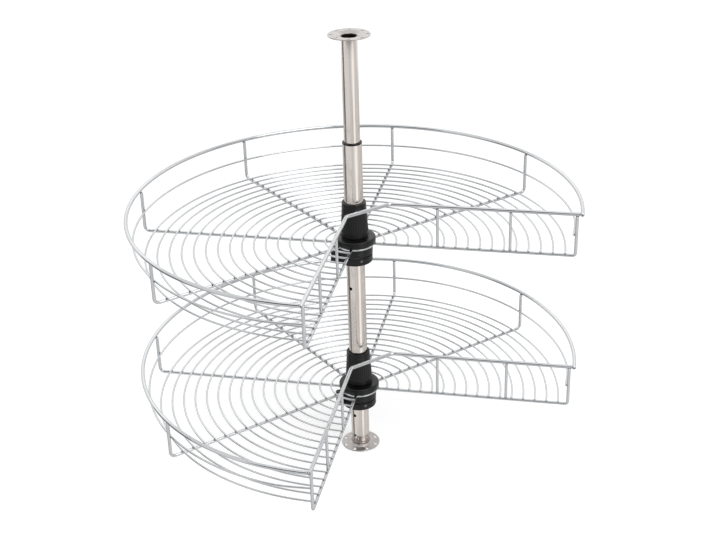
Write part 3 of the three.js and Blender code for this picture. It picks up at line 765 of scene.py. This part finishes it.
# %% Camera
TURN, DOWN, TILT, FOCAL = 11.92, 25.99, -1.64, 64.7
DISTANCE, TARGET_HEIGHT, SHIFT_RIGHT, SHIFT_UP = 2.0536, 0.3329, 0.0037, -0.0067


def studio_camera():
    """Back = (sin t cos d, -cos t cos d, sin d) for turn t and down d, and r tilts right and top."""
    t, d, r = np.radians([TURN, DOWN, TILT])
    back = np.array([math.sin(t) * math.cos(d), -math.cos(t) * math.cos(d), math.sin(d)])
    level = np.array([math.cos(t), math.sin(t), 0])
    up = np.cross(back, level)
    right, top = math.cos(r) * level + math.sin(r) * up, math.cos(r) * up - math.sin(r) * level
    place = np.array([0, 0, TARGET_HEIGHT]) + SHIFT_RIGHT * right + SHIFT_UP * top + DISTANCE * back
    data = bpy.data.cameras.new("studio_camera")
    data.lens, data.sensor_width = FOCAL, 36
    camera = bpy.data.objects.new("studio_camera", data)
    camera.matrix_world = Matrix(np.column_stack([right, top, back]).tolist()).to_4x4()
    camera.location = place
    bpy.context.collection.objects.link(camera)
    bpy.context.scene.camera = camera
    return back, camera


towards_camera, camera = studio_camera()
print("camera at, m:", [round(v, 3) for v in camera.location])

# %% [markdown]
# ## Floor, light and cards
#
# The fitting stands on a plain white sweep. White means that the camera sees a strength of 1, and so do
# mirrors and glass, while the light that falls on the object stays at a plain level. The floor adds its own
# glow to a matt white that still takes the object's shadow.
#
# Chrome has no colour of its own, it only shows its surroundings. In a white room it would vanish. Product
# photographers therefore stand grey and black cards round a shiny object and hang one bright strip at the
# side. The cards here are seen only in reflections. The ones above eye level draw the dark and light lines
# on the wires: a wide dark card behind the camera with a small window in it, a dim one at the upper right,
# and a bright backdrop and a ceiling light for the tops of the wires. The camera looks down, so an upright
# tube mirrors what stands lower: grey in the middle, light card and dark card on its left side, bright
# strip and soft grey on its right.

# %% Studio
ROOM_LIGHT, FLOOR_GLOW, FLOOR_RADIUS, FLOOR_DROP = 0.72, 0.5, 6000, 0.5


def seen_directly(tree):
    """1 for camera, glossy and transmission rays, 0 for the rays that light the object."""
    path = add(tree, "ShaderNodeLightPath")
    mirror = add(tree, "ShaderNodeMath", {"operation": "ADD"},
                 {0: path.outputs["Is Glossy Ray"], 1: path.outputs["Is Transmission Ray"]})
    return add(tree, "ShaderNodeMath", {"operation": "ADD", "use_clamp": True},
               {0: path.outputs["Is Camera Ray"], 1: mirror.outputs[0]}).outputs[0]


world = bpy.data.worlds.new("white_room")
bpy.context.scene.world = world
world.use_nodes = True
world.node_tree.nodes.clear()
level = add(world.node_tree, "ShaderNodeMapRange", sockets={
    "Value": seen_directly(world.node_tree), "To Min": ROOM_LIGHT, "To Max": 1.0})
sky = add(world.node_tree, "ShaderNodeBackground", sockets={
    "Color": colour("#ffffff"), "Strength": level.outputs[0]})
add(world.node_tree, "ShaderNodeOutputWorld", sockets={"Surface": sky.outputs[0]})

floor_paint, tree, place = new_material("white_sweep")
cloud = add(tree, "ShaderNodeTexNoise", sockets={"Vector": place, "Scale": 3.0})
tone = add(tree, "ShaderNodeMix", {"data_type": "RGBA"},
           {0: cloud.outputs["Fac"], 6: colour("#d9d9d9"), 7: colour("#dcdcdc")})
paper = add(tree, "ShaderNodeBsdfDiffuse", sockets={"Color": tone.outputs[2]})
glow_level = add(tree, "ShaderNodeMath", {"operation": "MULTIPLY"}, {0: seen_directly(tree), 1: FLOOR_GLOW})
glow = add(tree, "ShaderNodeEmission", sockets={"Strength": glow_level.outputs[0]})
finish_material(tree, add(tree, "ShaderNodeAddShader", sockets={0: paper.outputs[0], 1: glow.outputs[0]}))


def disc(radius, height, sides=96):
    """One flat round face: x = r cos t, y = r sin t."""
    turn = 2 * np.pi * np.arange(sides) / sides
    points = np.stack([radius * np.cos(turn), radius * np.sin(turn), np.full(sides, height)], -1)
    return points, [np.arange(sides)[None]]


sweep = new_object("floor_sweep", disc(FLOOR_RADIUS, -FLOOR_DROP))
sweep.data.materials.append(floor_paint)
sweep.visible_glossy = False
print("floor and room ready")

# %% Cards and lamp
camera_turn = math.degrees(math.atan2(towards_camera[1], towards_camera[0]))
IN_FRONT = 2900.0


def glowing(name, shape, strength):
    """A surface that glows and is seen in reflections only."""
    item = new_object(name, shape)
    paint, tree, _ = new_material(name)
    finish_material(tree, add(tree, "ShaderNodeEmission", sockets={"Strength": strength}))
    item.data.materials.append(paint)
    item.visible_camera = item.visible_diffuse = item.visible_shadow = item.visible_transmission = False


def card(name, centre, width, low, high, strength, distance=3000.0):
    """An upright arc of card: x = distance * cos t, y = distance * sin t. Centre and width are degrees from
    the camera's side, positive to its right. Low and high are the card's edges in mm."""
    turn = np.radians(camera_turn + centre + width * np.linspace(-0.5, 0.5, 9))
    foot, head = [np.stack([distance * np.cos(turn), distance * np.sin(turn), np.full(9, z)], -1)
                  for z in (low, high)]
    corner = np.arange(8)
    quads = np.stack([corner, corner + 1, corner + 10, corner + 9], -1)
    glowing(name, (np.concatenate([foot, head]), [quads]), strength)


card("dark_card_behind_camera", 0, 105, 600, 3900, 0.14)
card("window_in_dark_card", 0, 15, 900, 2300, 0.7, IN_FRONT)
card("dim_card_upper_right", 70, 34, 500, 2600, 0.5)
card("grey_card_below_camera", 0, 26, -4000, 600, 0.78)
card("light_card_left", -46, 62, -4000, 600, 0.92)
card("dark_card_left", -98, 30, -4000, 600, 0.2)
card("bright_strip_right", 42, 27, -4000, 600, 1.3, IN_FRONT)
card("soft_grey_right", 88, 40, -4000, 600, 0.8)
card("pale_backdrop", 180, 130, -100, 1640, 1.05)
card("bright_backdrop", 180, 130, 1640, 2600, 1.5)
glowing("overhead_light", disc(1980, 3900), 1.3)
glowing("grey_floor", disc(18000, -3000), 0.72)

LAMP_WIDTH, LAMP_WATTS, LAMP_SIDE, LAMP_REACH, LAMP_HEIGHT, AIM_HEIGHT = 1.6, 22, 40, 1.7, 2.3, 0.35
lamp_data = bpy.data.lights.new("soft_box", "AREA")
lamp_data.shape, lamp_data.size, lamp_data.energy = "DISK", LAMP_WIDTH, LAMP_WATTS
lamp = bpy.data.objects.new("soft_box", lamp_data)
side = math.radians(camera_turn + LAMP_SIDE)
lamp.location = (LAMP_REACH * math.cos(side), LAMP_REACH * math.sin(side), LAMP_HEIGHT)
lamp.rotation_euler = (Vector(lamp.location) - Vector((0, 0, AIM_HEIGHT))).to_track_quat("Z", "Y").to_euler()
bpy.context.collection.objects.link(lamp)
bpy.context.scene.view_settings.view_transform = "Standard"
print("cards and lamp ready")
